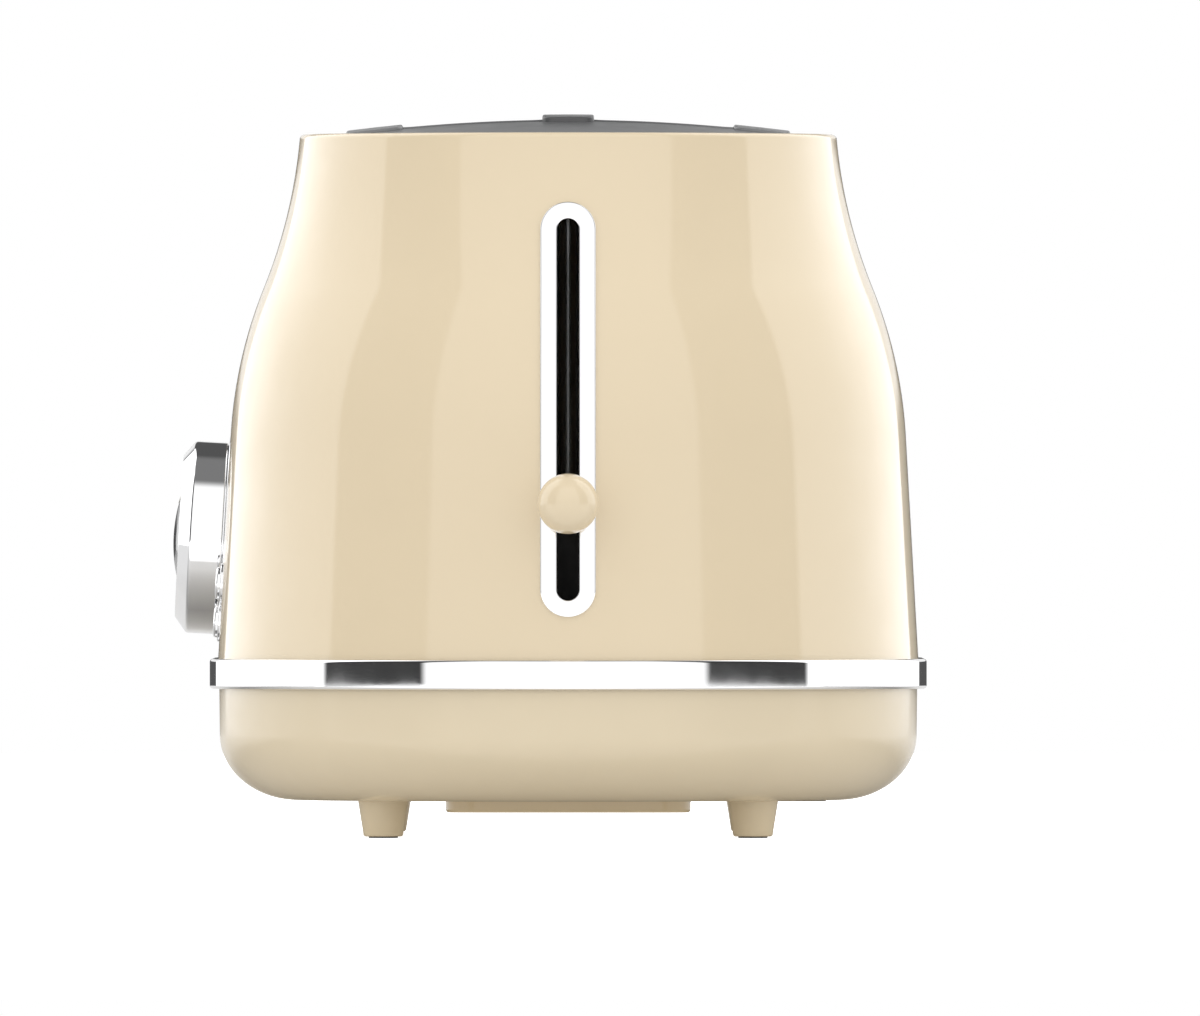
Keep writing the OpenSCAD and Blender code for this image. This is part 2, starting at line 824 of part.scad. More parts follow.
// An electromagnet on a foot, below the latch plate.
magnet_y = -18;
magnet_foot = [9, 8, 1.2];
core_d = 6;
coil_d = 15;
coil_h = 15.5;
latch_z = 66;
latch_low = latch_z - travel_down; // height of the latch plate when the carriage is right down
latch_gap = 0.2;
module at_magnet() {
    translate([rod_x, magnet_y, chassis_top]) children();
}
module magnet_core() {
    color(steel) at_magnet() {
        box([-magnet_foot[0], -magnet_foot[1], 0], magnet_foot);
        cylinder(d = core_d, h = latch_low - latch_gap - chassis_top);
    }
}
module magnet_coil() {
    color(brass) at_magnet() translate([0, 0, magnet_foot[2] + 0.1]) difference() {
        cylinder(d = coil_d, h = coil_h);
        translate([0, 0, -over]) cylinder(d = core_d + 0.1, h = coil_h + 2 * over);
    }
}

// The mains switch, whose two blades the latch plate bridges when the carriage is down.
power_y = -36;
power_l = 16;
power_w = 12;
power_h = 9;
blade_y = 3;
blade_seat = 5;
blade_l = 9.6;
blade_t = 0.5;
blade_clear = 0.2;
blade_gap = 0.4; // between the blades' tops and the latch plate
module at_power_switch() {
    translate([rod_x, power_y, chassis_top]) children();
}
module blades(grow, top) {
    for (y = [-blade_y, blade_y])
        box([-blade_l / 2 - grow, y - blade_t / 2 - grow, blade_seat],
            [blade_l / 2 + grow, y + blade_t / 2 + grow, top]);
}
module power_switch() {
    color(black) at_power_switch() difference() {
        box([-power_l / 2, -power_w / 2, 0], [power_l / 2, power_w / 2, power_h]);
        blades(blade_clear, power_h + over);
    }
}
module switch_contacts() {
    color(brass) at_power_switch() blades(0, latch_low - blade_gap - chassis_top);
}

// The spring that lifts the carriage, drawn as the envelope of its coils.
slider_low = 56;
spring_seat = 3;
spring_low = slider_low + spring_seat;
spring_d = 7;
wire_d = 1;
module carriage_spring() {
    color(steel) translate([rod_x, spring_y, spring_low]) difference() {
        cylinder(d = spring_d, h = spring_top - spring_low);
        translate([0, 0, -over]) cylinder(d = spring_d - 2 * wire_d, h = far);
    }
}

module frame_screws() {
    color(steel) at_frame_screws() translate([0, 0, chamber_top_z + sheet])
        rotate([180, 0, 0]) screw(head_d = 5.4, head_h = 1.8, d = 2.6, l = 4);
}

slider_high = 100;
slider_in = 88;
slider_out = 114;
slider_y = 10;
waist_low = 74; // the slider is narrower between these heights
waist_high = 84;
waist_in = 3;
bush_d = 10;
arm_t = 1.8;
arm_h = 8;
arm_seat = slider_out - 5; // where the arm's socket in the slider ends

module arm_bar(start, end) {
    box([start, -arm_t / 2, lever_z - arm_h / 2], [end, arm_t / 2, lever_z + arm_h / 2]);
}

module slider() {
    color(black) difference() {
        union() {
            box([slider_in, -slider_y, slider_low], [slider_out, slider_y, slider_high]);
            box([rod_x - 4, slider_y - over, slider_low], [rod_x + 4, spring_y + 4, spring_low]);
        }
        translate([rod_x, 0, 0]) cylinder(d = bush_d, h = far);
        arm_bar(arm_seat, slider_out + over);
        for (m = [0, 1]) mirror([0, m, 0])
            box([slider_in - over, slider_y - waist_in, waist_low], [slider_out + over, far, waist_high]);
    }
}
module slider_bush() {
    color(brass) translate([rod_x, 0, slider_low]) difference() {
        cylinder(d = bush_d, h = slider_high - slider_low);
        translate([0, 0, -over]) cylinder(d = rod_d + 0.1, h = slider_high - slider_low + 2 * over);
    }
}

yoke_t = 2;
yoke_lap = 5; // how far the yoke reaches past each rack
module carriage_yoke() {
    color(steel) {
        box([slider_in - yoke_t, -slot_y - yoke_lap, slider_low],
            [slider_in, slot_y + yoke_lap, rack_high]);
        box([slider_in - yoke_t, -slider_y, rack_high - thin], [slider_in, slider_y, slider_high]);
    }
}

// A rack that carries one slice: a strip on edge with cross fingers welded on top.
strip_t = 1.2;
strip_end = 6;
finger_pitch = 12;
finger_half = 9;
finger_w = 3;
finger_t = 1.2;
module bread_rack(s) {
    color(steel) translate([0, s * slot_y, 0]) {
        box([-plate_x - strip_end, -strip_t / 2, rack_low],
            [slider_in - yoke_t, strip_t / 2, rack_high - finger_t - skin_gap]);
        for (i = [-5.5:5.5]) translate([i * finger_pitch, 0, 0])
            box([-finger_w / 2, -finger_half, rack_high - finger_t],
                [finger_w / 2, finger_half, rack_high]);
    }
}
module front_bread_rack() { bread_rack(-1); }
module rear_bread_rack() { bread_rack(1); }

ball_x = 157;
module lever_arm() {
    color(steel) arm_bar(arm_seat + 0.1, ball_x);
}
module lever_ball() {
    color(cream) difference() {
        translate([ball_x, 0, lever_z]) sphere(d = ball_d);
        arm_bar(ball_x - ball_d, ball_x);
    }
}

latch_half = 7;
latch_t = 2;
module latch_plate() {
    color(steel) box([rod_x - latch_half, power_y - blade_y - latch_t, latch_z],
        [rod_x + latch_half, -slider_y, latch_z + latch_t]);
}

// ---- Crumb tray ----

tray_end = -end_x - 64;
tray_back = 74;
module crumb_tray() {
    color(steel) difference() {
        box([tray_end, -tray_w / 2, tray_low], [tray_back, tray_w / 2, tray_high]);
        box([tray_end + sheet, -tray_w / 2 + sheet, tray_low + sheet],
            [tray_back - sheet, tray_w / 2 - sheet, tray_high + over]);
    }
}

// The tray's front is a piece of the base's wall with a finger lip.
lip_w = 44;
lip_low = 16.5;
lip_t = 3;
lip_in = 0.4;
module tray_front() {
    color(cream) {
        intersection() {
            base_ring();
            tray_mouth(0);
        }
        intersection() {
            plate(lip_low, lip_t, base_off - lip_in);
            box([-far, -lip_w / 2, 0], [tray_end, lip_w / 2, chassis_z]);
        }
    }
}

// ---- The toaster ----

module placed() {
    translate(body_centre) children();
}

placed() outer_shell();
placed() top_cover();
placed() slot_bars();
placed() trim_band();
placed() base_shell();
placed() service_cover();
placed() cover_screws();
placed() feet();
placed() foot_pads();
placed() base_screws();
placed() cord_grommet();
placed() terminal_block();
placed() slot_trim();
placed() dial_ring();
placed() button_bezels();
placed() control_carrier();
placed() control_board();
placed() dial_encoder();
placed() tact_switches();
placed() chassis_plate();
placed() lever_end_plate();
placed() far_end_plate();
placed() chamber_top();
placed() front_reflector();
placed() rear_reflector();
placed() front_mica();
placed() centre_mica();
placed() rear_mica();
placed() front_heater();
placed() centre_heater();
placed() rear_heater();
placed() guide_rod();
placed() magnet_core();
placed() magnet_coil();
placed() power_switch();
placed() switch_contacts();
placed() carriage_spring();
placed() frame_screws();
placed() slider();
placed() slider_bush();
placed() carriage_yoke();
placed() front_bread_rack();
placed() rear_bread_rack();
placed() lever_arm();
placed() lever_ball();
placed() latch_plate();
placed() front_outer_guard();
placed() front_inner_guard();
placed() rear_inner_guard();
placed() rear_outer_guard();
placed() dial_knob();
placed() dial_face();
placed() dial_shaft();
placed() cancel_button();
placed() reheat_button();
placed() defrost_button();
placed() bagel_button();
placed() crumb_tray();
placed() tray_front();
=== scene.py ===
import json
import math

import bmesh
import bpy
from mathutils import Matrix, Vector


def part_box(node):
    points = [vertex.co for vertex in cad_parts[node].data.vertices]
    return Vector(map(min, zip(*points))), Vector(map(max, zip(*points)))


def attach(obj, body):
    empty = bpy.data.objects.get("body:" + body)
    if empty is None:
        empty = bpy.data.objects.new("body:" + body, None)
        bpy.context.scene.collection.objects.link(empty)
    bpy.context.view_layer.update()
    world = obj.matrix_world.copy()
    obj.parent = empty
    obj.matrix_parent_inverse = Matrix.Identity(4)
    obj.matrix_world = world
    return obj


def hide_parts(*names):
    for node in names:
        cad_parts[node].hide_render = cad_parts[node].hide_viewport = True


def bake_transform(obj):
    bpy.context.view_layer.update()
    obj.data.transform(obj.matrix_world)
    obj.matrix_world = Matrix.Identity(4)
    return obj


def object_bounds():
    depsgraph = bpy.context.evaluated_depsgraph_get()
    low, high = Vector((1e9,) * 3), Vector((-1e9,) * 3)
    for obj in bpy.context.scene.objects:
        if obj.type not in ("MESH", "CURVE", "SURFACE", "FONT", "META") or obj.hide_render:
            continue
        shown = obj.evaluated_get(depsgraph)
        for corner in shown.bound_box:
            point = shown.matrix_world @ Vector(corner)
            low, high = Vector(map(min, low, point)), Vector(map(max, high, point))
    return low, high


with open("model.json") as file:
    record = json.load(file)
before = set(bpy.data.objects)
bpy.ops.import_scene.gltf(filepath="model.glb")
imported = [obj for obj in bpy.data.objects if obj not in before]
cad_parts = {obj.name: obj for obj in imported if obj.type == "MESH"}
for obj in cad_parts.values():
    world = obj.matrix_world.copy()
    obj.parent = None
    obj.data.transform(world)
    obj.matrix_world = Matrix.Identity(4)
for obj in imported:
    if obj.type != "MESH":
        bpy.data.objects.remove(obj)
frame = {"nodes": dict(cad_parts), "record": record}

CAD_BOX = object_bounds()
MM = 0.001

# Shapes are worked out in millimetres about the middle of the body.
# new_piece() puts them in the frame in metres.


# ---- Sizes that come from the frame ----

def size_mm(node):
    """Lowest and highest corner of a CAD node in millimetres about the middle of the body."""
    low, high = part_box(node)
    return low / MM - MIDDLE, high / MM - MIDDLE


shell_low, shell_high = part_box("outer_shell")
MIDDLE = Vector(((shell_low.x + shell_high.x) / 2, (shell_low.y + shell_high.y) / 2, 0)) / MM
RIM_Z = shell_high.z / MM
SHELL_Z = shell_low.z / MM
DRAFT = math.radians(3.2)
WAIST_Z = 49
SHEET = 0.8


def wall_off(z):
    return -(z - WAIST_Z) * math.tan(DRAFT)


HALF_W = (shell_high.y - shell_low.y) / 2 / MM - wall_off(SHELL_Z)
END_X = (shell_high.x - shell_low.x) / 2 / MM - wall_off(SHELL_Z) - HALF_W


# ---- Profiles: offset outside the waist, and height ----

def arc(cx, cz, r, start, end, n):
    steps = [math.radians(start + (end - start) * i / n) for i in range(n + 1)]
    return [(cx + r * math.cos(a), cz + r * math.sin(a)) for a in steps]


SHOULDER_Z, SHOULDER_R, NECK_R = 111, 128, 146
LEAN = math.radians(22)
SHOULDER_C = (wall_off(SHOULDER_Z) - SHOULDER_R * math.cos(DRAFT), SHOULDER_Z - SHOULDER_R * math.sin(DRAFT))
KNEE_X = SHOULDER_C[0] + (SHOULDER_R + NECK_R) * math.cos(LEAN)
KNEE_Z = SHOULDER_C[1] + (SHOULDER_R + NECK_R) * math.sin(LEAN)


def ogee_off(z, depth=0):
    """Offset of the shell's wall at height z, at a depth inside its outer face."""
    if z <= SHOULDER_C[1] + (SHOULDER_R - depth) * math.sin(DRAFT):
        return wall_off(z) - depth / math.cos(DRAFT)
    if z <= SHOULDER_C[1] + (SHOULDER_R - depth) * math.sin(LEAN):
        return SHOULDER_C[0] + math.sqrt((SHOULDER_R - depth) ** 2 - (z - SHOULDER_C[1]) ** 2)
    return KNEE_X - math.sqrt((NECK_R + depth) ** 2 - (z - KNEE_Z) ** 2)


def ogee(depth, low, high, n):
    return [(ogee_off(low + (high - low) * i / n, depth), low + (high - low) * i / n) for i in range(n + 1)]


HEM_R, HEM_W = 1.4, 3.2
RIM_OFF = ogee_off(RIM_Z - HEM_R)


def shell_profile():
    hem = arc(RIM_OFF - HEM_R, RIM_Z - HEM_R, HEM_R, 9, 90, 9)
    lip = arc(RIM_OFF - HEM_W, RIM_Z - SHEET / 2, SHEET / 2, 90, 270, 6)
    return ogee(0, SHELL_Z, RIM_Z - HEM_R, 110) + hem + lip + ogee(SHEET, SHELL_Z, RIM_Z - SHEET, 60)[::-1]


BAND_LOW, BAND_HIGH, BAND_OUT, BAND_BEVEL = 41, 49.3, 2.3, 0.9
BASE_HIGH, BASE_OFF, BASE_WALL = 44, -0.3, 2.5
FLOOR_Z, CORNER_W, CORNER_H = 10.2, 21.5, 18
FLOOR_OFF = BASE_OFF - CORNER_W - 8


def band_profile():
    seat = wall_off(SHELL_Z) + 0.05
    corner = BAND_OUT - BAND_BEVEL
    return (
        [(seat, BAND_LOW)] + arc(corner, BAND_LOW + BAND_BEVEL, BAND_BEVEL, -90, 0, 6)
        + arc(corner, BAND_HIGH - BAND_BEVEL, BAND_BEVEL, 0, 90, 6) + [(seat, BAND_HIGH), (seat, SHELL_Z)]
        + [(-2.2, SHELL_Z), (-2.2, BASE_HIGH), (seat, BASE_HIGH)]
    )


def base_corner(depth, n):
    turns = [-math.pi / 2 * i / n for i in range(n + 1)]
    return [
        (BASE_OFF - 0.2 - CORNER_W + (CORNER_W - depth) * math.cos(a),
         FLOOR_Z + CORNER_H + (CORNER_H - depth) * math.sin(a))
        for a in turns
    ]


def straight(start, end, n):
    return [tuple(a + (b - a) * i / n for a, b in zip(start, end)) for i in range(n)]


def base_profile():
    """From the floor's inner edge, up the inside, over the top edge and down the outside."""
    inner = base_corner(BASE_WALL, 20)[::-1]
    outer = base_corner(0, 36)
    top = [(BASE_OFF - BASE_WALL, BASE_HIGH), (BASE_OFF, BASE_HIGH)]
    return (
        [(FLOOR_OFF, FLOOR_Z + BASE_WALL)] + inner + top[:1] + straight(top[1], outer[0], 8) + outer
        + [(FLOOR_OFF, FLOOR_Z)]
    )


# ---- Mesh tools ----

def new_piece(name, verts, faces, sharp=35):
    mesh = bpy.data.meshes.new(name)
    mesh.from_pydata([(Vector(v) + MIDDLE) * MM for v in verts], [], faces)
    piece = bpy.data.objects.new(name, mesh)
    bpy.context.scene.collection.objects.link(piece)
    finish_mesh(piece, sharp)
    return piece


def finish_mesh(piece, sharp=35):
    """Welds, turns the faces outwards and shades them smooth between edges sharper than the angle."""
    bm = bmesh.new()
    bm.from_mesh(piece.data)
    bmesh.ops.remove_doubles(bm, verts=bm.verts, dist=0.5e-6)
    bmesh.ops.dissolve_degenerate(bm, edges=bm.edges, dist=0.5e-6)
    bmesh.ops.recalc_face_normals(bm, faces=bm.faces)
    for face in bm.faces:
        face.smooth = True
    for edge in bm.edges:
        edge.smooth = len(edge.link_faces) != 2 or edge.calc_face_angle(0) < math.radians(sharp)
    bm.to_mesh(piece.data)
    bm.free()


def loft(loops, close_last=False, caps=False):
    """Vertices and faces through loops of equal length. Each loop is closed."""
    count = len(loops[0])
    verts = [p for loop in loops for p in loop]
    rows = len(loops) if close_last else len(loops) - 1
    faces = []
    for i in range(rows):
        a, b = i * count, (i + 1) % len(loops) * count
        faces += [(a + j, a + (j + 1) % count, b + (j + 1) % count, b + j) for j in range(count)]
    if caps:
        faces += [tuple(range(count)), tuple(range(len(verts) - count, len(verts)))]
    return verts, faces


def plan(end_steps=96, side_steps=16):
    """Stations round the body: the centre that each one is offset from, and its outward direction."""
    stations = []
    for side in (1, -1):
        for i in range(end_steps):
            a = -math.pi / 2 + math.pi * i / end_steps
            stations.append((side * END_X, side * math.cos(a), side * math.sin(a)))
        for i in range(side_steps):
            stations.append((side * END_X * (1 - 2 * i / side_steps), 0, side))
    return stations


def around(name, profile, caps=False):
    """Sweeps a profile round the body. With caps, the ends of the profile are filled across the middle."""
    loops = [
        [(cx + nx * (HALF_W + off), ny * (HALF_W + off), z) for cx, nx, ny in plan()]
        for off, z in profile
    ]
    return new_piece(name, *loft(loops, close_last=not caps, caps=caps))


def lathe(name, profile, places, steps=128, sharp=35):
    """Turns a profile of (radius, height) about Z, once in each place. It closes at radius 0 or on itself."""
    verts, faces = [], []
    for place in places:
        open_ends = profile[0][0] < 1e-6 and profile[-1][0] < 1e-6
        turned = [p for p in profile if p[0] > 1e-6]
        loops = [
            [place @ Vector((r * math.cos(a), r * math.sin(a), z))
             for a in (2 * math.pi * j / steps for j in range(steps))]
            for r, z in turned
        ]
        v, f = loft(loops, close_last=not open_ends)
        start = len(verts)
        verts += v
        faces += [tuple(start + k for k in face) for face in f]
        if open_ends:
            for (_, z), ring in ((profile[0], 0), (profile[-1], len(turned) - 1)):
                tip, at = len(verts), start + ring * steps
                verts.append(place @ Vector((0, 0, z)))
                faces += [(tip, at + j, at + (j + 1) % steps) for j in range(steps)]
    return new_piece(name, verts, faces, sharp)


def round_rect(w, h, r, n=8):
    points = []
    for sx, sy, start in ((1, 1, 0), (-1, 1, 90), (-1, -1, 180), (1, -1, 270)):
        points += arc(sx * (w / 2 - r), sy * (h / 2 - r), r, start, start + 90, n)
    return points


def framed(name, w, h, r, layers, place, closed=True, n=8, edge_steps=24):
    """Lofts a rounded rectangle through layers of (inset, height). place(u, v, height) gives each point."""
    def outline(inset):
        corner = max(r - inset, 0.02)
        points = round_rect(w - 2 * inset, h - 2 * inset, corner, n)
        dense = []
        for i, (u, v) in enumerate(points):
            nu, nv = points[(i + 1) % len(points)]
            steps = edge_steps if i % (n + 1) == n else 1
            dense += [(u + (nu - u) * k / steps, v + (nv - v) * k / steps) for k in range(steps)]
        return dense
    loops = [[place(u, v, height) for u, v in outline(inset)] for inset, height in layers]
    return new_piece(name, *loft(loops, close_last=closed, caps=not closed))


def prism(points, along):
    """A closed solid from an outline, pushed along a vector. It is only used to cut."""
    shifted = [Vector(p) + Vector(along) for p in points]
    return new_piece("cutter", *loft([[Vector(p) for p in points], shifted], caps=True))


def block(low, high):
    x0, y0, z0 = low
    x1, y1, z1 = high
    return prism([(x0, y0, z0), (x1, y0, z0), (x1, y1, z0), (x0, y1, z0)], (0, 0, z1 - z0))


def disc(place, r, low, high, steps=64):
    turn = [2 * math.pi * i / steps for i in range(steps)]
    along = place.to_3x3() @ Vector((0, 0, high - low))
    return prism([place @ Vector((r * math.cos(a), r * math.sin(a), low)) for a in turn], along)


def combine(piece, tools, operation="DIFFERENCE"):
    """Applies exact booleans and removes the tools."""
    for tool in tools:
        step = piece.modifiers.new("cut", "BOOLEAN")
        step.operation, step.solver, step.object = operation, "EXACT", tool
    graph = bpy.context.evaluated_depsgraph_get()
    old, piece.data = piece.data, bpy.data.meshes.new_from_object(piece.evaluated_get(graph))
    piece.modifiers.clear()
    bpy.data.meshes.remove(old)
    for tool in tools:
        bpy.data.meshes.remove(tool.data)
    finish_mesh(piece)
    return piece


def joined(name, pieces):
    """One piece from several."""
    bm = bmesh.new()
    for piece in pieces:
        bm.from_mesh(piece.data)
        bpy.data.meshes.remove(piece.data)
    mesh = bpy.data.meshes.new(name)
    bm.to_mesh(mesh)
    bm.free()
    whole = bpy.data.objects.new(name, mesh)
    bpy.context.scene.collection.objects.link(whole)
    return whole


def weigh_normals(piece):
    """Wide faces set the shading at soft edges, so they look flat beside narrow rounded ones."""
    step = piece.modifiers.new("weighted", "WEIGHTED_NORMAL")
    step.keep_sharp = True


def stands_for(piece, body, slot, *nodes):
    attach(piece, body)
    if nodes:
        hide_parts(*nodes)
    piece.data.materials.clear()
    piece.data.materials.append(MATERIALS[slot])
    weigh_normals(piece)
    return piece


# ---- Materials ----

def material(name, colour, roughness, metallic=0.0, coat=0.0, coat_roughness=0.03):
    """A Principled material whose base colour, roughness and bump the caller patterns."""
    made = bpy.data.materials.new(name)
    made.use_nodes = True
    shader = made.node_tree.nodes["Principled BSDF"]
    shader.inputs["Base Color"].default_value = (*colour, 1)
    shader.inputs["Roughness"].default_value = roughness
    shader.inputs["Metallic"].default_value = metallic
    shader.inputs["Coat Weight"].default_value = coat
    shader.inputs["Coat Roughness"].default_value = coat_roughness
    return made


def node(made, kind, **values):
    added = made.node_tree.nodes.new(kind)
    for key, value in values.items():
        if key in added.inputs:
            added.inputs[key].default_value = value
        else:
            setattr(added, key, value)
    return added


def link(made, source, target):
    made.node_tree.links.new(source, target)


def object_place(made, stretch=(1, 1, 1)):
    """Object coordinates in metres, stretched."""
    place = node(made, "ShaderNodeTexCoord")
    mapping = node(made, "ShaderNodeMapping", Scale=stretch)
    link(made, place.outputs["Object"], mapping.inputs["Vector"])
    return mapping.outputs["Vector"]


def noise(made, scale, detail=3.0, stretch=(1, 1, 1), rough=0.5):
    texture = node(made, "ShaderNodeTexNoise", Scale=scale, Detail=detail, Roughness=rough)
    link(made, object_place(made, stretch), texture.inputs["Vector"])
    return texture.outputs["Fac"]


def vary_colour(made, factor, low, high, start=0.3, end=0.7):
    ramp = node(made, "ShaderNodeMapRange")
    ramp.inputs["From Min"].default_value, ramp.inputs["From Max"].default_value = start, end
    mix = node(made, "ShaderNodeMix", data_type="RGBA")
    link(made, factor, ramp.inputs["Value"])
    link(made, ramp.outputs["Result"], mix.inputs["Factor"])
    for socket in mix.inputs:
        if socket.type == "RGBA":
            socket.default_value = (*low, 1) if socket.name == "A" else (*high, 1)
    colour = [s for s in mix.outputs if s.type == "RGBA"][0]
    link(made, colour, made.node_tree.nodes["Principled BSDF"].inputs["Base Color"])


def vary_roughness(made, factor, low, high, start=0.3, end=0.7):
    ramp = node(made, "ShaderNodeMapRange")
    ramp.inputs["From Min"].default_value, ramp.inputs["From Max"].default_value = start, end
    ramp.inputs["To Min"].default_value, ramp.inputs["To Max"].default_value = low, high
    link(made, factor, ramp.inputs["Value"])
    link(made, ramp.outputs["Result"], made.node_tree.nodes["Principled BSDF"].inputs["Roughness"])


def bump(made, height, depth, coat=False):
    """Bump of a depth in metres, for a height from 0 to 1."""
    bumped = node(made, "ShaderNodeBump", Strength=1.0, Distance=depth)
    link(made, height, bumped.inputs["Height"])
    shader = made.node_tree.nodes["Principled BSDF"]
    link(made, bumped.outputs["Normal"], shader.inputs["Normal"])
    if coat:
        link(made, bumped.outputs["Normal"], shader.inputs["Coat Normal"])


def shades(colour, spread):
    return [c * (1 - spread) for c in colour], [min(c * (1 + spread), 1) for c in colour]


def enamel(name, colour):
    """Gloss stove enamel: a clear top layer with a faint orange peel."""
    made = material(name, colour, 0.5, coat=1.0, coat_roughness=0.035)
    vary_colour(made, noise(made, 14, 4), *shades(colour, 0.012))
    vary_roughness(made, noise(made, 60, 5), 0.42, 0.55)
    bump(made, noise(made, 240, 2), 0.0000012, coat=True)
    return made


def moulded(name, colour, roughness, grain=2600, depth=0.000004, coat=0.0):
    """Moulded plastic with a fine spark-eroded texture."""
    made = material(name, colour, roughness, coat=coat, coat_roughness=0.12)
    vary_colour(made, noise(made, 22, 4), *shades(colour, 0.02))
    vary_roughness(made, noise(made, 160, 4), roughness * 0.88, roughness * 1.12)
    bump(made, noise(made, grain, 2), depth)
    return made


def polished(name, colour, low, high):
    """Plated metal with faint smears."""
    made = material(name, colour, low, metallic=1.0)
    vary_colour(made, noise(made, 30, 3), *shades(colour, 0.01))
    vary_roughness(made, noise(made, 75, 5, stretch=(1, 1, 0.4)), low, high)
    return made


def brushed(name, colour, roughness, stretch, depth=0.000003, spread=0.05):
    """Rolled sheet with fine lines along one way."""
    made = material(name, colour, roughness, metallic=1.0)
    lines = noise(made, 900, 3, stretch=stretch)
    vary_colour(made, noise(made, 35, 5), *shades(colour, spread))
    vary_roughness(made, lines, roughness * 0.8, roughness * 1.25)
    bump(made, lines, depth)
    return made


def cover_material():
    """Satin enamel with painted shade: the colour is paler towards the cover's edge and darker at the crown,
    for how light falls on the dome. The rim's and the crown's heights are in metres.
    """
    rim_height, crown_height = 0.195, 0.1986
    made = moulded("top_enamel", (0.13, 0.132, 0.135), 0.34, 1400, 0.000006)
    split = node(made, "ShaderNodeSeparateXYZ")
    link(made, object_place(made), split.inputs[0])
    # Painted light and shade: lighter at the rim and darker at the crown, as the light falls on the dome.
    pale, dark = (0.22, 0.222, 0.225), (0.09, 0.091, 0.093)
    vary_colour(made, split.outputs["Z"], pale, dark, rim_height, crown_height)
    return made


def mica_material():
    """Pressed mica: overlapping pale flakes with a soft sheen."""
    made = material("mica", (0.5, 0.44, 0.3), 0.4)
    flakes = node(made, "ShaderNodeTexVoronoi", Scale=260.0)
    link(made, object_place(made), flakes.inputs["Vector"])
    split = node(made, "ShaderNodeSeparateColor")
    link(made, flakes.outputs["Color"], split.inputs["Color"])
    vary_colour(made, split.outputs[0], (0.4, 0.34, 0.22), (0.64, 0.58, 0.43), 0, 1)
    vary_roughness(made, split.outputs[1], 0.25, 0.5, 0, 1)
    bump(made, split.outputs[0], 0.00003)
    return made


def winding_material():
    """Enamelled copper wire, wound in close turns. Besides the bump, the colour is painted darker in the
    grooves between the turns, as painted shade.
    """
    made = material("winding", (0.6, 0.27, 0.1), 0.3, metallic=1.0)
    turns = node(made, "ShaderNodeTexWave", Scale=330.0, Distortion=0.4, Detail=1.0)
    turns.bands_direction = "Z"
    link(made, object_place(made), turns.inputs["Vector"])
    # Painted shade: the colour runs from dark in the grooves between turns to bright copper on each turn.
    vary_colour(made, turns.outputs["Fac"], (0.3, 0.11, 0.04), (0.75, 0.36, 0.15), 0, 1)
    bump(made, turns.outputs["Fac"], 0.0001)
    return made


def board_material():
    """Solder mask with paler copper runs below it."""
    made = material("circuit_board", (0.02, 0.16, 0.07), 0.3, coat=0.5)
    runs = node(made, "ShaderNodeTexBrick", Scale=120.0)
    runs.inputs["Mortar Size"].default_value = 0.03
    turned = node(made, "ShaderNodeMapping", Rotation=(math.pi / 2, 0, 0))
    link(made, object_place(made), turned.inputs["Vector"])
    link(made, turned.outputs["Vector"], runs.inputs["Vector"])
    vary_colour(made, runs.outputs["Fac"], (0.015, 0.13, 0.055), (0.06, 0.3, 0.13), 0, 1)
    vary_roughness(made, noise(made, 90, 3), 0.25, 0.4)
    return made


MATERIALS = {
    "shell_paint": enamel("shell_paint", (0.80, 0.665, 0.455)),
    "cream_plastic": moulded("cream_plastic", (0.765, 0.648, 0.452), 0.34, coat=0.7),
    "trim_chrome": polished("trim_chrome", (0.93, 0.93, 0.935), 0.02, 0.05),
    "top_enamel": cover_material(),
    "dial_gloss": moulded("dial_gloss", (0.012, 0.012, 0.013), 0.12, 500, 0.0000008, coat=0.3),
    "black_plastic": moulded("black_plastic", (0.018, 0.018, 0.019), 0.5),
    "black_rubber": moulded("black_rubber", (0.016, 0.016, 0.017), 0.72, 1500, 0.00001),
    "sheet_steel": brushed("sheet_steel", (0.6, 0.61, 0.62), 0.32, (0.04, 1, 1)),
    "reflector_steel": brushed("reflector_steel", (0.72, 0.71, 0.67), 0.22, (1, 1, 0.04), spread=0.1),
    "guard_wire": polished("guard_wire", (0.74, 0.73, 0.7), 0.16, 0.3),
    "hard_steel": polished("hard_steel", (0.55, 0.56, 0.57), 0.18, 0.32),
    "mica_sheet": mica_material(),
    "heater_ribbon": brushed("heater_ribbon", (0.2, 0.17, 0.15), 0.5, (0.1, 1, 1), spread=0.3),
    "brass_parts": polished("brass_parts", (0.78, 0.55, 0.24), 0.18, 0.34),
    "circuit_board": board_material(),
    "white_nylon": moulded("white_nylon", (0.72, 0.7, 0.63), 0.45),
}


def finish_cad_nodes():
    """Every CAD node that stays takes its slot's material."""
    for part in frame["record"]["subparts"]:
        mesh = frame["nodes"][part["node"]].data
        mesh.materials.clear()
        mesh.materials.append(MATERIALS[part["material_slot"]])
    winding = frame["nodes"]["magnet_coil"].data
    winding.materials[0] = winding_material()


# ---- Casing ----

DIAL_Z = 82.5
DIAL_PLACE = Matrix.Translation((0, -HALF_W - wall_off(DIAL_Z), DIAL_Z)) @ Matrix.Rotation(
    math.pi / 2 - DRAFT, 4, "X")
BUTTON_R, BUTTON_RING = 4.5, 40
BUTTONS = {"bagel_button": (-1, -18), "defrost_button": (-1, -35), "cancel_button": (1, -18),
           "reheat_button": (1, -35)}
WINDOW_LOW, WINDOW_HIGH, SLOT_W, TRIM_EDGE = 65.7, 170.7, 6, 4.7


def button_place(name):
    side, angle = BUTTONS[name]
    a = math.radians(angle)
    return DIAL_PLACE @ Matrix.Translation((side * BUTTON_RING * math.cos(a), BUTTON_RING * math.sin(a), 0))


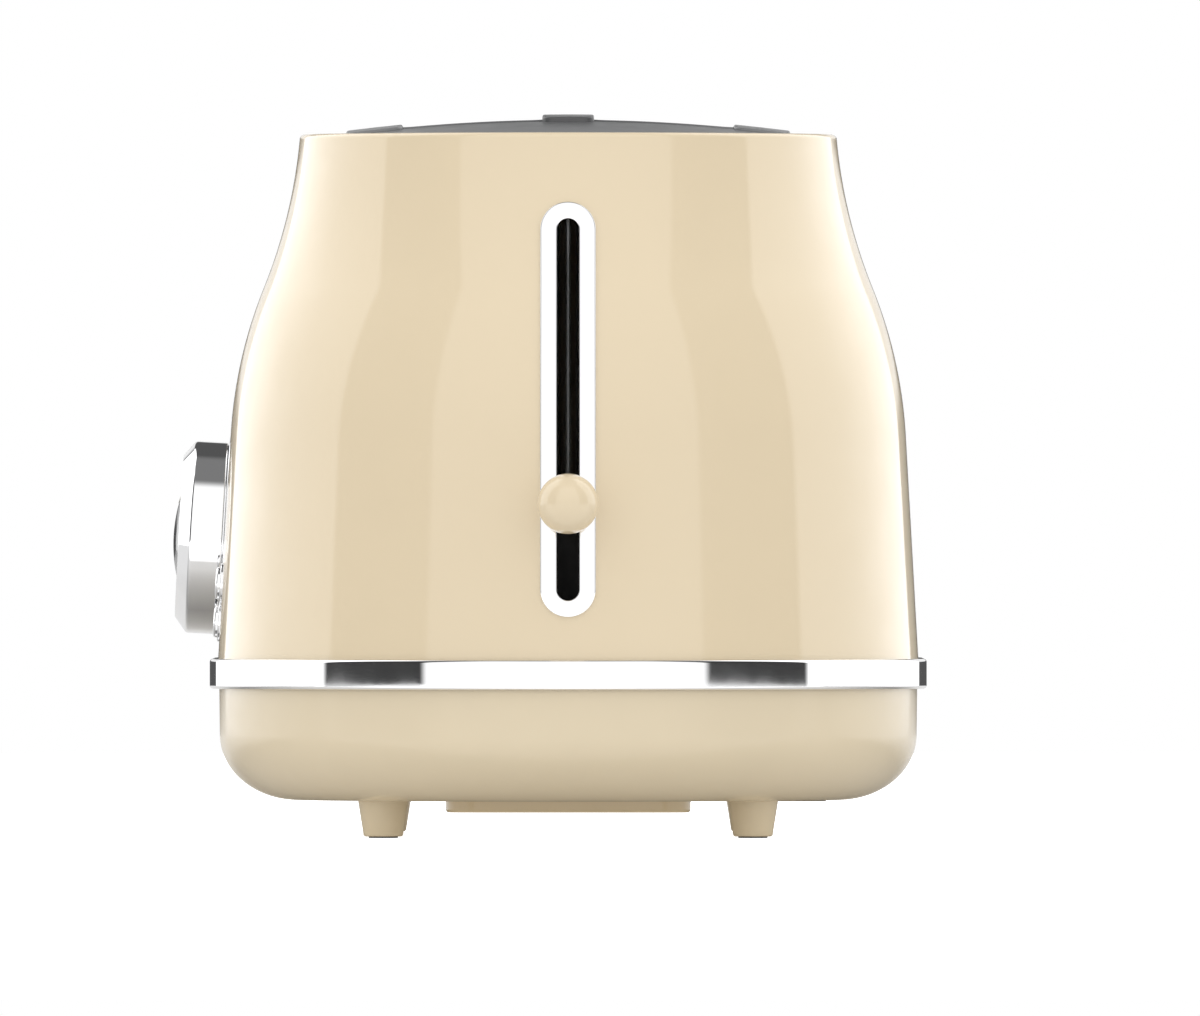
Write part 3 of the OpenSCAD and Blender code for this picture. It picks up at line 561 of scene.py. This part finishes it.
def outer_shell():
    shell = around("outer_shell_skin", shell_profile())
    grow = 1
    window = round_rect(SLOT_W + 2 * grow, WINDOW_HIGH - WINDOW_LOW + 2 * grow, SLOT_W / 2 + grow - 0.01, 16)
    middle = (WINDOW_LOW + WINDOW_HIGH) / 2
    tools = [prism([(END_X + 40, u, middle + v) for u, v in window], (100, 0, 0)), disc(DIAL_PLACE, 7, -5, 5)]
    tools += [disc(button_place(name), BUTTON_R + 0.2, -5, 5) for name in BUTTONS]
    combine(shell, tools)
    stands_for(shell, "housing", "shell_paint", "outer_shell")


def trim_band():
    stands_for(around("trim_band_rolled", band_profile()), "housing", "trim_chrome", "trim_band")


TRAY_W, TRAY_LOW, TRAY_HIGH = 91, 13.2, 22.4
MOUTH_CLEAR = 0.4


def tray_mouth(grow):
    low = (-END_X - 200, -TRAY_W / 2 - grow, TRAY_LOW - grow)
    return block(low, (-END_X - 60, TRAY_W / 2 + grow, TRAY_HIGH + grow))


def base_shell():
    base = around("base_tub", base_profile(), caps=True)
    tools = [tray_mouth(MOUTH_CLEAR)]
    for x in range(-48, 49, 12):
        for y in (-64, 64):
            tools.append(prism([(x + u, y + v, 0) for u, v in round_rect(4, 13, 1.9)], (0, 0, 30)))
    screws = [Matrix.Translation((sx * 84, sy * 58, 0)) for sx in (-1, 1) for sy in (-1, 1)]
    tools += [disc(place, 4.3, 5, 14.7) for place in screws]
    tools.append(disc(Matrix.Translation((-70, 65, 0)), 5.5, 5, 30))
    combine(base, tools)
    post = [(1.9, 25), (6, 25), (6, 11.6), (4.4, 11.6), (4.4, 14.7), (1.9, 14.7)]
    posts = lathe("base_posts", post, screws, 48)
    whole = joined("base_tub_with_posts", [base, posts])
    stands_for(whole, "housing", "cream_plastic", "base_shell")


def tray_front():
    wall = combine(around("tray_wall", base_profile(), caps=True), [tray_mouth(0)], "INTERSECT")
    lip_off, lip_low, lip_high, lip_half = BASE_OFF - 0.4, 16.5, 19.5, 22
    edge = (lip_high - lip_low) / 2
    nose = arc(lip_off - edge, lip_low + edge, edge, -90, 90, 10)
    section = [(-15, lip_low)] + nose + [(-15, lip_high)]
    loops = [
        [(cx + nx * (HALF_W + off), ny * (HALF_W + off), z) for off, z in section]
        for cx, nx, ny in plan(256) if nx < 0 and abs(ny * HALF_W) < lip_half
    ]
    lip = new_piece("tray_lip", *loft(loops, caps=True))
    whole = joined("tray_front_moulding", [wall, lip])
    stands_for(whole, "crumb_tray", "cream_plastic", "tray_front")


def feet():
    bottom, top = 5.5, 7
    side = arc(bottom - 0.75, 0.4 + 0.75, 0.75, -90, -8, 6)
    profile = [(4.1, 1.6), (4.1, 0.4)] + side + [(top, FLOOR_Z + 0.1), (4.1, FLOOR_Z + 0.1)]
    places = [Matrix.Translation((sx * 95, sy * 51, 0)) for sx in (-1, 1) for sy in (-1, 1)]
    stands_for(lathe("feet_moulded", profile, places, 64), "housing", "cream_plastic", "feet")


def service_cover():
    low, high = (v.z for v in size_mm("service_cover"))
    edge = 0.9
    rounded = [(edge - edge * math.cos(a), low + edge - edge * math.sin(a))
               for a in (math.pi / 2 * i / 6 for i in range(7))]
    cover = framed("service_cover_moulded", 120, 67.8, 10, [(0, high)] + rounded,
                   lambda u, v, h: (u, v, h), closed=False)
    combine(cover, [disc(Matrix.Translation((x, 0, 0)), 3.5, 0, 8.8) for x in (-40, 40)])
    stands_for(cover, "housing", "cream_plastic", "service_cover")


# ---- Top ----

DOME_Z, DOME_FLAT, DOME_END_R, DOME_RY = 198.6, 60, 230, 480
SLOT_L, SLOT_WIDE, SLOT_GAP = 150, 38.2, 14.4
SLOT_Y = (SLOT_GAP + SLOT_WIDE) / 2
COVER_OFF = RIM_OFF - SHEET - 0.4


def dome(x, y):
    across = DOME_END_R - DOME_RY + math.sqrt(DOME_RY ** 2 - y * y)
    past = max(abs(x) - DOME_FLAT, 0)
    return DOME_Z - DOME_END_R + math.sqrt(across ** 2 - past ** 2)


def on_dome(cy):
    return lambda u, v, h: (u, cy + v, dome(u, cy + v) + h)


def dome_plate(thick, step=3):
    """A grid over the dome with a thickness, larger than the cover, to be cut to its outline."""
    xs = [-132 + step * i for i in range(int(264 / step) + 1)]
    ys = [-81 + step * i for i in range(int(162 / step) + 1)]
    verts = [(x, y, dome(x, y) - t) for t in (0, thick) for x in xs for y in ys]
    rows, layer = len(ys), len(xs) * len(ys)
    faces = []
    for i in range(len(xs) - 1):
        for j in range(rows - 1):
            a = i * rows + j
            faces.append((a, a + rows, a + rows + 1, a + 1))
            faces.append((layer + a, layer + a + 1, layer + a + rows + 1, layer + a + rows))
    rim = [i * rows for i in range(len(xs))] + [(len(xs) - 1) * rows + j for j in range(1, rows)]
    rim += [i * rows + rows - 1 for i in range(len(xs) - 2, -1, -1)] + [j for j in range(rows - 2, 0, -1)]
    faces += [(rim[k], rim[(k + 1) % len(rim)], layer + rim[(k + 1) % len(rim)], layer + rim[k])
              for k in range(len(rim))]
    return new_piece("dome_plate", verts, faces)


def top_cover():
    outline = [(cx + nx * (HALF_W + COVER_OFF), ny * (HALF_W + COVER_OFF), 180) for cx, nx, ny in plan()]
    plate = combine(dome_plate(1.8), [prism(outline, (0, 0, 30))], "INTERSECT")
    grow = 1.6
    hole = round_rect(SLOT_L + 2 * grow, SLOT_WIDE + 2 * grow, 4 + grow)
    combine(plate, [prism([(u, s * SLOT_Y + v, 180) for u, v in hole], (0, 0, 30)) for s in (-1, 1)])
    roll = 1.3
    mouth = [(roll * (math.sin(a) - 1), roll * (math.cos(a) - 1) + 0.35)
             for a in (math.pi / 2 * i / 8 for i in range(9))]
    layers = [(-2 * roll - 0.3, -0.3), (-2 * roll - 0.2, 0.05)] + mouth
    depth = dome(0, SLOT_Y) - 180.8
    layers += [(0, -depth + 2), (-1.3, -depth + 2), (-1.3, -1.7), (-2 * roll - 0.3, -1.7)]
    collars = [framed("collar", SLOT_L, SLOT_WIDE, 4, layers, on_dome(s * SLOT_Y)) for s in (-1, 1)]
    whole = joined("top_cover_pressed", [plate] + collars)
    stands_for(whole, "housing", "top_enamel", "top_cover")


def slot_bar(width, cy, height):
    edge = 0.6
    rounded = [(edge - edge * math.cos(a), height - edge + edge * math.sin(a))
               for a in (math.pi / 2 * i / 6 for i in range(7))]
    inner = [(inset, height) for inset in (2.2, width / 2 - 0.02)]
    return framed("bar", SLOT_L + 10, width, 3, [(0, 0.02)] + rounded + inner, on_dome(cy), closed=False)


def slot_bars():
    outer_w = 15.6
    outer_y = SLOT_Y + SLOT_WIDE / 2 + 0.4 + outer_w / 2
    bars = [slot_bar(SLOT_GAP - 0.1, 0, 1.4)] + [slot_bar(outer_w, s * outer_y, 0.8) for s in (-1, 1)]
    stands_for(joined("slot_bars_pressed", bars), "housing", "top_enamel", "slot_bars")


# ---- Lever ----

def on_lever_end(u, v, height):
    """A point on the shell's lever end, at u across and v above the slot's middle."""
    z = (WINDOW_LOW + WINDOW_HIGH) / 2 + v
    return END_X + math.sqrt((HALF_W + ogee_off(z) + height) ** 2 - u * u), u, z


def slot_trim():
    edge = 0.45
    w, h = SLOT_W + 2 * TRIM_EDGE, WINDOW_HIGH - WINDOW_LOW + 2 * TRIM_EDGE
    turns = [math.pi / 2 * i / 5 for i in range(6)]
    outer = [(edge - edge * math.cos(a), 1 - edge + edge * math.sin(a)) for a in turns]
    inner = [(TRIM_EDGE - edge + edge * math.sin(a), 1 - edge + edge * math.cos(a)) for a in turns]
    flange_t, flange_end = 0.7, -0.75
    flange = [(TRIM_EDGE, flange_end), (TRIM_EDGE - flange_t, flange_end), (TRIM_EDGE - flange_t, 0.02)]
    layers = [(0, 0.02)] + outer + inner + flange
    trim = framed("slot_trim_pressed", w, h, w / 2 - 0.02, layers, on_lever_end, n=24, edge_steps=80)
    stands_for(trim, "housing", "trim_chrome", "slot_trim")


def lever_ball():
    low, high = size_mm("lever_ball")
    r = (high.z - low.z) / 2
    centre = Vector((high.x - r, 0, (low.z + high.z) / 2))
    flat = math.radians(22)
    steps = [math.pi - flat - (math.pi - flat) * i / 48 for i in range(49)]
    seat = r * math.cos(math.pi - flat)
    profile = [(0, seat), (r * math.sin(flat) - 0.3, seat)]
    profile += [(r * math.sin(a), r * math.cos(a)) for a in steps]
    place = Matrix.Translation(centre) @ Matrix.Rotation(math.pi / 2, 4, "Y")
    profile[-1] = (0, r)
    ball = lathe("lever_ball_turned", profile, [place], 96, 50)
    stands_for(ball, "carriage", "shell_paint", "lever_ball")


# ---- Dial and buttons ----

def dial():
    knob = size_mm("dial_knob")
    r = (knob[1].x - knob[0].x) / 2
    back, edge, front, bevel, face_r = 0.9, 9.8, 13.1, 4.2, 17.8
    turn_r, slope = 1.2, math.atan2(bevel, front - edge)
    turn_z, slope_angle = edge - turn_r * math.tan(slope / 2), math.degrees(slope)
    profile = [(3.02, 2.5), (7, 2.5), (7, 7), (r - 2.5, 7), (r - 2.5, 0.6), (r - 0.5, 0.6), (r - 0.5, back)]
    profile += arc(r - 0.4, back + 0.4, 0.4, -90, 0, 4) + arc(r - turn_r, turn_z, turn_r, 0, slope_angle, 12)
    profile += arc(r - bevel - 0.17, front - 0.35, 0.35, slope_angle, 90, 4)
    profile += arc(face_r + 0.4, front - 0.4, 0.4, 90, 180, 4) + [(face_r, 9.6), (3.02, 9.6)]
    stands_for(lathe("dial_knob_turned", profile, [DIAL_PLACE], 192, 25), "dial", "trim_chrome", "dial_knob")

    ball, top, rim = 43, 14.7, face_r - 0.08
    crown = [(rim * (1 - i / 24), 0) for i in range(25)]
    crown = [(x, top - ball + math.sqrt(ball * ball - x * x)) for x, _ in crown]
    profile = [(0, 9.6), (rim, 9.6)] + crown
    stands_for(lathe("dial_face_domed", profile, [DIAL_PLACE], 128), "dial", "dial_gloss", "dial_face")

    ring = (size_mm("dial_ring")[1].x - size_mm("dial_ring")[0].x) / 2
    profile = [(7, 0), (ring, 0)] + arc(ring - 0.3, 0.2, 0.3, 0, 90, 6) + [(7, 0.5)]
    stands_for(lathe("dial_ring_turned", profile, [DIAL_PLACE], 160), "housing", "trim_chrome", "dial_ring")

    # A raised pale pointer on the face's edge.
    pointer_r = 12.6

    def on_face(u, v, h):
        v += pointer_r
        return DIAL_PLACE @ Vector((u, v, top - ball + math.sqrt(ball * ball - u * u - v * v) + h))
    layers = [(0, -0.2), (0, 0.08), (0.1, 0.16)]
    pointer = framed("dial_pointer", 1.6, 7, 0.75, layers, on_face, closed=False, n=5)
    stands_for(pointer, "dial", "white_nylon")


def shade_marks():
    """Printed marks round the dial, longer towards the dark end."""
    count, printed, gap = 7, 0.05, 1.6
    ring = (size_mm("dial_ring")[1].x - size_mm("dial_ring")[0].x) / 2
    marks = []
    for i in range(count):
        turn = Matrix.Rotation(math.radians(225 - 270 * i / (count - 1)), 4, "Z")
        length = 2 + 0.5 * i

        def place(u, v, h, turn=turn, length=length):
            p = DIAL_PLACE @ turn @ Vector((ring + gap + length / 2 + u, v, 0))
            p.y = -(HALF_W + ogee_off(p.z)) - h
            return p
        marks.append(framed("mark", length, 1, 0.45, [(0, 0), (0, printed)], place, closed=False, n=4))
    stands_for(joined("shade_marks", marks), "housing", "black_plastic")


def buttons():
    top, r = 2.2, BUTTON_R
    board = -22.4 + 3.5 + 1.3
    crown = [(r - 0.9 + 0.9 * math.cos(a), top - 0.35 - 0.55 + 0.9 * math.sin(a) * 0.8)
             for a in (math.pi / 2 * i / 8 for i in range(9))]
    dish = [((r - 0.9) * (1 - i / 8), top - 0.18 + 0.18 * (i / 8)) for i in range(1, 9)]
    stem_r, flange_r, flange_low, flange_high = 1.5, r + 0.8, -3.5, -2.4
    profile = [(0, board), (stem_r, board), (stem_r, flange_low), (flange_r, flange_low)]
    profile += [(flange_r, flange_high), (r, flange_high)] + crown + dish
    for name in BUTTONS:
        cap = lathe(name + "_turned", profile, [button_place(name)], 64)
        stands_for(cap, name, "trim_chrome", name)
    bezel = [(r + 0.25, 0), (r + 1.1, 0)] + arc(r + 0.8, 0.5, 0.3, 0, 90, 4) + [(r + 0.25, 0.8)]
    bezels = lathe("button_bezels_turned", bezel, [button_place(name) for name in BUTTONS], 64)
    stands_for(bezels, "housing", "trim_chrome", "button_bezels")


# ---- Mechanism ----

def lifting_spring():
    """The extension spring's coils, which stretch between the carriage and the chamber's top."""
    low, high = size_mm("carriage_spring")
    cx, cy = (low.x + high.x) / 2, (low.y + high.y) / 2
    wire, turns, ring, steps = 0.45, 34, 8, 20
    r = (high.x - low.x) / 2 - wire
    count = turns * steps
    verts, faces = [], []
    for i in range(count + 1):
        a = 2 * math.pi * i / steps
        outwards = Vector((math.cos(a), math.sin(a), 0))
        middle = Vector((cx, cy, low.z + wire + (high.z - low.z - 2 * wire) * i / count)) + outwards * r
        for j in range(ring):
            b = 2 * math.pi * j / ring
            verts.append(middle + wire * (math.cos(b) * outwards + math.sin(b) * Vector((0, 0, 1))))
    for i in range(count):
        a, b = i * ring, (i + 1) * ring
        faces += [(a + j, a + (j + 1) % ring, b + (j + 1) % ring, b + j) for j in range(ring)]
    faces += [tuple(range(ring)), tuple(range(count * ring, (count + 1) * ring))]
    spring = new_piece("lifting_spring_coils", verts, faces)
    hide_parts("carriage_spring")
    spring.data.materials.append(MATERIALS["hard_steel"])
    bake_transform(spring)


# ---- Camera, light and floor ----

VIEW_WIDE = 0.3336
VIEW_FROM = 12.0


def camera():
    data = bpy.data.cameras.new("camera")
    data.sensor_width = 36
    data.lens = data.sensor_width * VIEW_FROM / VIEW_WIDE
    data.clip_end = 40
    seen = bpy.data.objects.new("camera", data)
    aim = Vector((0, MIDDLE.y * MM + 0.0088, 0.09105))
    seen.location = aim + Vector((VIEW_FROM, 0, 0))
    seen.rotation_euler = (math.pi / 2, 0, math.pi / 2)
    bpy.context.scene.collection.objects.link(seen)
    bpy.context.scene.camera = seen


AMBIENT = 1.13
BACK_WALL = 0.9
BACK_DARK = 0.09  # behind, at the horizon and high up
CEILING = 0.2
WALLS_TURNED = 1.0  # degrees
# Glossy surfaces see walls of these strengths, by angle from the lever end.
# Each wall ends over a range of degrees.
WALL_ENDS = [(45, 48, 1.1), (83, 86, 0.05), (105, 140, 1.5), (155, 158, 2.1)]
WALL_STEPS = [(start, end, level - beyond) for (start, end, level), beyond in zip(
    WALL_ENDS, [level for _, _, level in WALL_ENDS[1:]] + [BACK_WALL])]


def studio():
    """White walls all round, with two dark gaps towards the lever end, and a dark ceiling."""
    world = bpy.data.worlds.new("studio")
    bpy.context.scene.world = world
    world.use_nodes = True
    tree = world.node_tree
    tree.nodes.clear()

    def add(kind, **values):
        made = tree.nodes.new(kind)
        for key, value in values.items():
            setattr(made, key, value)
        return made

    def step(angle, start, end):
        """1 below start and 0 above end, in degrees from the lever end."""
        ramp = add("ShaderNodeMapRange", interpolation_type="SMOOTHSTEP")
        ramp.inputs["From Min"].default_value = math.radians(start)
        ramp.inputs["From Max"].default_value = math.radians(end)
        ramp.inputs["To Min"].default_value, ramp.inputs["To Max"].default_value = 1, 0
        tree.links.new(angle, ramp.inputs["Value"])
        return ramp.outputs["Result"]

    def rise(source, start, end):
        """0 below start and 1 above end, for the sine of the height above the horizon."""
        ramp = add("ShaderNodeMapRange", interpolation_type="SMOOTHSTEP")
        ramp.inputs["From Min"].default_value, ramp.inputs["From Max"].default_value = start, end
        tree.links.new(source, ramp.inputs["Value"])
        return ramp.outputs["Result"]

    def maths(operation, *sources):
        made = add("ShaderNodeMath", operation=operation)
        for socket, source in zip(made.inputs, sources):
            if isinstance(source, (int, float)):
                socket.default_value = source
            else:
                tree.links.new(source, socket)
        return made.outputs[0]

    place = add("ShaderNodeTexCoord")
    split = add("ShaderNodeSeparateXYZ")
    tree.links.new(place.outputs["Generated"], split.inputs[0])
    angle = maths("ARCTAN2", split.outputs["Y"], split.outputs["X"])
    angle = maths("ABSOLUTE", maths("ADD", angle, math.radians(WALLS_TURNED)))
    walls = BACK_WALL
    for start, end, change in WALL_STEPS:
        walls = maths("MULTIPLY_ADD", step(angle, start, end), change, walls)
    level = maths("ABSOLUTE", split.outputs["Z"])
    lit = maths("SUBTRACT", rise(level, 0.03, 0.06), rise(split.outputs["Z"], 0.2, 0.3))
    unlit = maths("SUBTRACT", maths("SUBTRACT", 1, lit), step(angle, 155, 158))
    walls = maths("MULTIPLY_ADD", maths("MAXIMUM", unlit, 0), BACK_DARK - BACK_WALL, walls)
    darker = maths("SUBTRACT", CEILING, walls)
    walls = maths("MULTIPLY_ADD", rise(split.outputs["Z"], 0.88, 0.96), darker, walls)
    path = add("ShaderNodeLightPath")
    mix = add("ShaderNodeMix")
    tree.links.new(path.outputs["Is Glossy Ray"], mix.inputs["Factor"])
    seen_or_lighting = maths("MULTIPLY_ADD", path.outputs["Is Camera Ray"], 1 - AMBIENT, AMBIENT)
    tree.links.new(seen_or_lighting, mix.inputs["A"])
    tree.links.new(walls, mix.inputs["B"])
    background = add("ShaderNodeBackground")
    background.inputs["Color"].default_value = (1, 1, 1, 1)
    tree.links.new(mix.outputs["Result"], background.inputs["Strength"])
    output = add("ShaderNodeOutputWorld")
    tree.links.new(background.outputs[0], output.inputs["Surface"])


def floor():
    """A pale round floor, seen as white as the walls so that it meets them without a line. In reflections it
    shows a painted shadow under the body and a painted glow past the lever end. Near the middle it gives
    painted bounce light.
    """
    steps, r = 128, 4.0
    turn = [2 * math.pi * i / steps for i in range(steps)]
    mesh = bpy.data.meshes.new("floor")
    rim = [(r * math.cos(a), r * math.sin(a), CAD_BOX[0].z) for a in turn]
    mesh.from_pydata(rim, [], [tuple(range(steps))])
    slab = bpy.data.objects.new("floor", mesh)
    bpy.context.scene.collection.objects.link(slab)
    grey = (0.72, 0.72, 0.72)
    made = material("floor", grey, 0.9)
    shader = made.node_tree.nodes["Principled BSDF"]
    shader.inputs["Specular IOR Level"].default_value = 0
    shader.inputs["Emission Color"].default_value = (1, 1, 1, 1)
    path = node(made, "ShaderNodeLightPath")
    split = node(made, "ShaderNodeSeparateXYZ")
    link(made, object_place(made), split.inputs[0])

    sideways = node(made, "ShaderNodeMath", operation="ABSOLUTE")
    link(made, split.outputs["X"], sideways.inputs[0])

    distance = node(made, "ShaderNodeVectorMath", operation="LENGTH")
    link(made, object_place(made), distance.inputs[0])

    def for_rays(kind, source, start, end, low, high):
        """A value that follows a source, for one kind of ray only."""
        ramp = node(made, "ShaderNodeMapRange")
        for value, socket in zip((start, end, low, high), ("From Min", "From Max", "To Min", "To Max")):
            ramp.inputs[socket].default_value = value
        link(made, source, ramp.inputs["Value"])
        times = node(made, "ShaderNodeMath", operation="MULTIPLY")
        link(made, path.outputs[kind], times.inputs[0])
        link(made, ramp.outputs["Result"], times.inputs[1])
        return times.outputs[0]

    # Painted reflection: the floor glows for glossy rays past the lever end, and is white for camera rays.
    glow = node(made, "ShaderNodeMath", operation="ADD")
    link(made, for_rays("Is Glossy Ray", split.outputs["X"], 0.15, 0.165, 0, 0.5), glow.inputs[0])
    link(made, path.outputs["Is Camera Ray"], glow.inputs[1])
    # Painted bounce light: near the middle the floor glows for diffuse rays, which lights the body's
    # underside.
    fill = node(made, "ShaderNodeMath", operation="ADD")
    link(made, glow.outputs[0], fill.inputs[0])
    link(made, for_rays("Is Diffuse Ray", distance.outputs["Value"], 0.07, 0.15, 0.4, 0), fill.inputs[1])
    link(made, fill.outputs[0], shader.inputs["Emission Strength"])
    # Painted shadow: for glossy rays the floor's colour is darkened near the middle, as if the body shaded
    # it.
    vary_colour(made, for_rays("Is Glossy Ray", sideways.outputs[0], 0, 0.11, 0.56, 0), grey, (0, 0, 0), 0, 1)
    mesh.materials.append(made)


bpy.context.scene.view_settings.view_transform = "Standard"
camera()
studio()
floor()
finish_cad_nodes()
outer_shell()
trim_band()
base_shell()
tray_front()
feet()
service_cover()
top_cover()
slot_bars()
slot_trim()
lever_ball()
dial()
shade_marks()
buttons()
lifting_spring()
